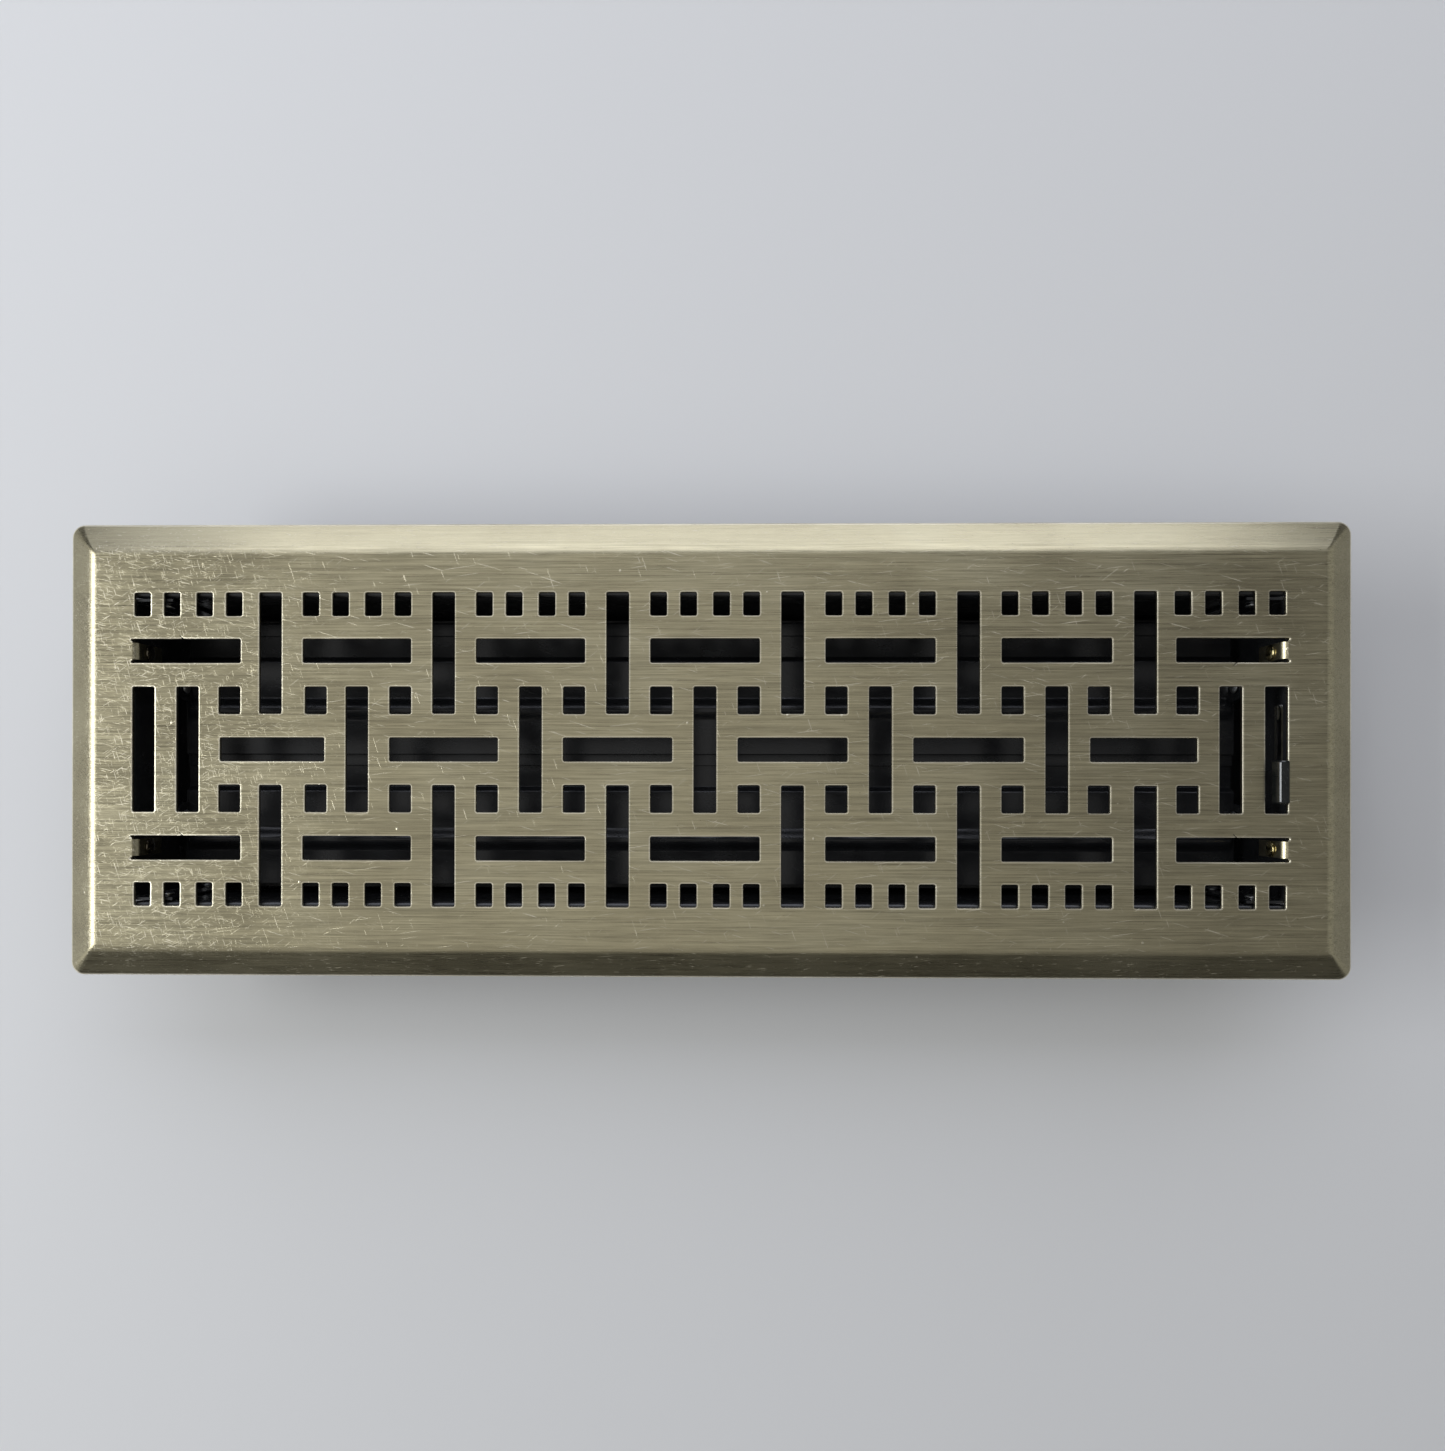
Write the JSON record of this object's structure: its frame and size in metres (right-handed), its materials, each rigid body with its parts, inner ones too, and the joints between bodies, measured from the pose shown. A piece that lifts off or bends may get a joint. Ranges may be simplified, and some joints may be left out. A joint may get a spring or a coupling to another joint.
{
  "type": "floor register",
  "caption": "Louvred air grille for a floor duct: pierced brass-coloured faceplate with a bevelled rim over a damper box, whose linked blades open by a sliding knob.",
  "frame": {"origin": "centre of the damper box's lower edge, which the part stands on", "axes": "+X along the length, towards the operating knob; +Y across the width; +Z out of the face"},
  "size_m": [0.3938, 0.1396, 0.0521],
  "materials": {
    "antique_brass": "satin antique brass plate, brushed along the length",
    "rivet_brass": "satin",
    "black_paint": "semi-gloss black enamel",
    "zinc_plate": "satin zinc plate",
    "black_nylon": "matt",
    "knob_plastic": "gloss"
  },
  "bodies": {
    "root": {"faceplate": "antique_brass", "side_wall_front": "black_paint", "side_wall_rear": "black_paint", "end_wall_left": "black_paint", "end_wall_right": "black_paint", "pivot_bush_front_left": "black_nylon", "pivot_bush_front_right": "black_nylon", "pivot_bush_rear_left": "black_nylon", "pivot_bush_rear_right": "black_nylon", "tab_rivet_front_left": "rivet_brass", "tab_rivet_front_right": "rivet_brass", "tab_rivet_rear_left": "rivet_brass", "tab_rivet_rear_right": "rivet_brass", "corner_rivet_front_left_lower": "zinc_plate", "corner_rivet_front_left_upper": "zinc_plate", "corner_rivet_front_right_lower": "zinc_plate", "corner_rivet_front_right_upper": "zinc_plate", "corner_rivet_rear_left_lower": "zinc_plate", "corner_rivet_rear_left_upper": "zinc_plate", "corner_rivet_rear_right_lower": "zinc_plate", "corner_rivet_rear_right_upper": "zinc_plate"},
    "blade_rear": {"blade_rear": "black_paint", "pivot_pin_rear_left": "zinc_plate", "pivot_pin_rear_right": "zinc_plate", "crank_rear": "zinc_plate", "link_rivet_rear": "zinc_plate"},
    "blade_front": {"blade_front": "black_paint", "pivot_pin_front_left": "zinc_plate", "pivot_pin_front_right": "zinc_plate", "crank_front": "zinc_plate", "link_rivet_front": "zinc_plate"},
    "lever": {"lever_link": "zinc_plate", "lever_knob": "knob_plastic"}
  },
  "joints": [
    {"name": "blade_rear_pivot", "type": "hinge", "parent": "root", "child": "blade_rear", "pos_m": [0, 0.02125, 0.024], "axis": [-1, 0, 0], "range_deg": [0, 80]},
    {"name": "blade_front_pivot", "type": "hinge", "parent": "root", "child": "blade_front", "pos_m": [0, -0.02125, 0.024], "axis": [-1, 0, 0], "range_deg": [0, 80]},
    {"name": "lever_pivot", "type": "hinge", "parent": "blade_rear", "child": "lever", "pos_m": [0.1776, 0.01161, 0.03549], "axis": [1, 0, 0], "range_deg": [0, 80]}
  ],
  "couplings": [
    {"joint": "blade_front_pivot", "follows": "blade_rear_pivot", "ratio": 1},
    {"joint": "lever_pivot", "follows": "blade_rear_pivot", "ratio": 1}
  ]
}
